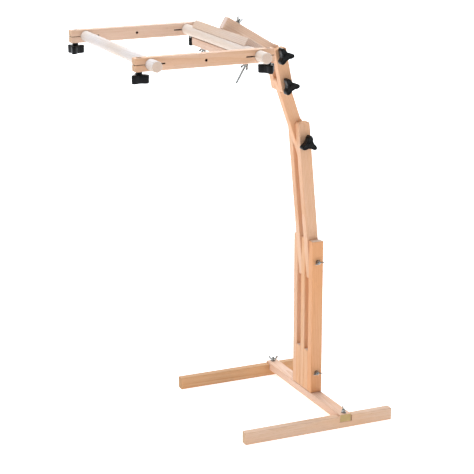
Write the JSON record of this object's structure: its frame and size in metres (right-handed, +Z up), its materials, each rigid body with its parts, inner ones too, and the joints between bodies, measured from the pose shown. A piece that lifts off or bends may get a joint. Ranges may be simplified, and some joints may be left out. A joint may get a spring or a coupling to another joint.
{
  "type": "needlework floor stand with scroll frame",
  "caption": "Wooden floor stand with a tilting jointed arm and a roller clamp that carries a rectangular scroll frame for needlework; hand knobs and wing nuts lock its joints.",
  "frame": {"origin": "on the floor, under the middle of the whole stand's bounding box", "axes": "+Z up, +Y along the crossbar and the rollers, +X along the feet away from the user, so the scroll frame reaches towards -X"},
  "size_m": [0.6634, 0.49, 0.9785],
  "materials": {
    "timber": "planed pale hardwood strip with a warm peach tone, unvarnished",
    "dowel": "turned dowel, a little paler than the strip",
    "knob_plastic": "moulded black plastic",
    "zinc": "zinc-plated steel"
  },
  "bodies": {
    "base": {"front_foot": "timber", "rear_foot": "timber", "crossbar": "timber", "post_front": "timber", "post_middle": "timber", "post_rear": "timber", "spacer_front": "timber", "spacer_rear": "timber", "front_lap_bolt": "zinc", "front_lap_washer": "zinc", "rear_lap_bolt": "zinc", "rear_lap_washer": "zinc", "mast_bolt": "zinc", "mast_washer": "zinc", "post_bolt": "zinc", "post_washer": "zinc"},
    "mast": {"mast_front": "timber", "mast_rear": "timber", "lower_arm_bolt": "zinc", "lower_arm_washer": "zinc"},
    "lower_arm": {"lower_arm": "timber"},
    "upper_arm": {"upper_arm_front": "timber", "upper_arm_rear": "timber", "upper_arm_bolt": "zinc", "upper_arm_washer": "zinc", "head_arm_bolt": "zinc", "head_arm_washer": "zinc"},
    "head_arm": {"head_arm": "timber", "swivel_washer": "zinc"},
    "clamp": {"jaw_upper": "timber", "clamp_bolt_near": "zinc", "clamp_bolt_far": "zinc", "swivel_bolt": "zinc"},
    "lower_jaw": {"jaw_lower": "timber", "clamp_washer_near": "zinc", "clamp_washer_far": "zinc"},
    "scroll_frame": {"rail_near": "timber", "rail_far": "timber", "rail_bolt_near_front": "zinc", "rail_bolt_near_back": "zinc", "rail_bolt_far_front": "zinc", "rail_bolt_far_back": "zinc"},
    "back_roller": {"roller_back": "dowel"},
    "front_roller": {"roller_front": "dowel"},
    "front_lap_wing_nut": {"front_lap_wing_nut": "zinc"},
    "rear_lap_wing_nut": {"rear_lap_wing_nut": "zinc"},
    "mast_wing_nut": {"mast_wing_nut": "zinc"},
    "post_wing_nut": {"post_wing_nut": "zinc"},
    "swivel_wing_nut": {"swivel_wing_nut": "zinc"},
    "clamp_wing_nut_near": {"clamp_wing_nut_near": "zinc"},
    "clamp_wing_nut_far": {"clamp_wing_nut_far": "zinc"},
    "lower_arm_knob": {"lower_arm_knob": "knob_plastic"},
    "upper_arm_knob": {"upper_arm_knob": "knob_plastic"},
    "head_arm_knob": {"head_arm_knob": "knob_plastic"},
    "rail_knob_near_front": {"rail_knob_near_front": "knob_plastic"},
    "rail_knob_near_back": {"rail_knob_near_back": "knob_plastic"},
    "rail_knob_far_front": {"rail_knob_far_front": "knob_plastic"},
    "rail_knob_far_back": {"rail_knob_far_back": "knob_plastic"}
  },
  "joints": [
    {"name": "mast_tilt", "type": "hinge", "parent": "base", "child": "mast", "pos_m": [0.2047, 0.01, 0.373], "axis": [0, -1, 0], "range_deg": [-20, 20]},
    {"name": "lower_arm_tilt", "type": "hinge", "parent": "mast", "child": "lower_arm", "pos_m": [0.17778, 0.01, 0.66878], "axis": [0, -1, 0], "range_deg": [-25, 25]},
    {"name": "upper_arm_tilt", "type": "hinge", "parent": "lower_arm", "child": "upper_arm", "pos_m": [0.12729, 0.01, 0.81215], "axis": [0, -1, 0], "range_deg": [-25, 25]},
    {"name": "head_arm_tilt", "type": "hinge", "parent": "upper_arm", "child": "head_arm", "pos_m": [0.11242, 0.01, 0.88464], "axis": [0, -1, 0], "range_deg": [-30, 30]},
    {"name": "clamp_swivel", "type": "hinge", "parent": "head_arm", "child": "clamp", "pos_m": [0.0057, 0.01, 0.94876], "axis": [0.515, 0, 0.8572], "range_deg": [-35, 35]},
    {"name": "jaw_open", "type": "slide", "parent": "clamp", "child": "lower_jaw", "axis": [-0.515, 0, -0.8572], "range_m": [0, 0.03]},
    {"name": "frame_tilt", "type": "hinge", "parent": "clamp", "child": "scroll_frame", "pos_m": [-0.03143, 0.01, 0.92172], "axis": [0, -1, 0], "range_deg": [-60, 45]},
    {"name": "back_roller_turn", "type": "hinge", "parent": "scroll_frame", "child": "back_roller", "pos_m": [-0.03143, 0.01, 0.92172], "axis": [0, 1, 0], "continuous": true},
    {"name": "front_roller_turn", "type": "hinge", "parent": "scroll_frame", "child": "front_roller", "pos_m": [-0.28843, 0.01, 0.92172], "axis": [0, 1, 0], "continuous": true},
    {"name": "lower_arm_knob_turn", "type": "hinge", "parent": "mast", "child": "lower_arm_knob", "pos_m": [0.17778, -0.0221, 0.66878], "axis": [0, -1, 0], "continuous": true},
    {"name": "upper_arm_knob_turn", "type": "hinge", "parent": "upper_arm", "child": "upper_arm_knob", "pos_m": [0.12729, -0.0221, 0.81215], "axis": [0, -1, 0], "continuous": true},
    {"name": "head_arm_knob_turn", "type": "hinge", "parent": "upper_arm", "child": "head_arm_knob", "pos_m": [0.11242, -0.0221, 0.88464], "axis": [0, -1, 0], "continuous": true},
    {"name": "rail_knob_near_front_turn", "type": "hinge", "parent": "scroll_frame", "child": "rail_knob_near_front", "pos_m": [-0.31193, -0.199, 0.90642], "axis": [0, 0, -1], "continuous": true},
    {"name": "rail_knob_near_back_turn", "type": "hinge", "parent": "scroll_frame", "child": "rail_knob_near_back", "pos_m": [-0.00793, -0.199, 0.90642], "axis": [0, 0, -1], "continuous": true},
    {"name": "rail_knob_far_front_turn", "type": "hinge", "parent": "scroll_frame", "child": "rail_knob_far_front", "pos_m": [-0.31193, 0.219, 0.90642], "axis": [0, 0, -1], "continuous": true},
    {"name": "rail_knob_far_back_turn", "type": "hinge", "parent": "scroll_frame", "child": "rail_knob_far_back", "pos_m": [-0.00793, 0.219, 0.90642], "axis": [0, 0, -1], "continuous": true},
    {"name": "front_lap_wing_nut_turn", "type": "hinge", "parent": "base", "child": "front_lap_wing_nut", "pos_m": [0.2047, -0.187, 0.0368], "axis": [0, 0, 1], "continuous": true},
    {"name": "rear_lap_wing_nut_turn", "type": "hinge", "parent": "base", "child": "rear_lap_wing_nut", "pos_m": [0.2047, 0.207, 0.0368], "axis": [0, 0, 1], "continuous": true},
    {"name": "mast_wing_nut_turn", "type": "hinge", "parent": "base", "child": "mast_wing_nut", "pos_m": [0.2047, -0.0424, 0.373], "axis": [0, -1, 0], "continuous": true},
    {"name": "post_wing_nut_turn", "type": "hinge", "parent": "base", "child": "post_wing_nut", "pos_m": [0.2047, -0.0424, 0.087], "axis": [0, -1, 0], "continuous": true},
    {"name": "swivel_wing_nut_turn", "type": "hinge", "parent": "clamp", "child": "swivel_wing_nut", "pos_m": [0.0057, 0.01, 0.94876], "axis": [0.515, 0, 0.8572], "continuous": true},
    {"name": "clamp_wing_nut_near_turn", "type": "hinge", "parent": "lower_jaw", "child": "clamp_wing_nut_near", "pos_m": [-0.01966, -0.11, 0.88713], "axis": [0.515, 0, 0.8572], "continuous": true},
    {"name": "clamp_wing_nut_far_turn", "type": "hinge", "parent": "lower_jaw", "child": "clamp_wing_nut_far", "pos_m": [-0.01966, 0.13, 0.88713], "axis": [0.515, 0, 0.8572], "continuous": true}
  ]
}
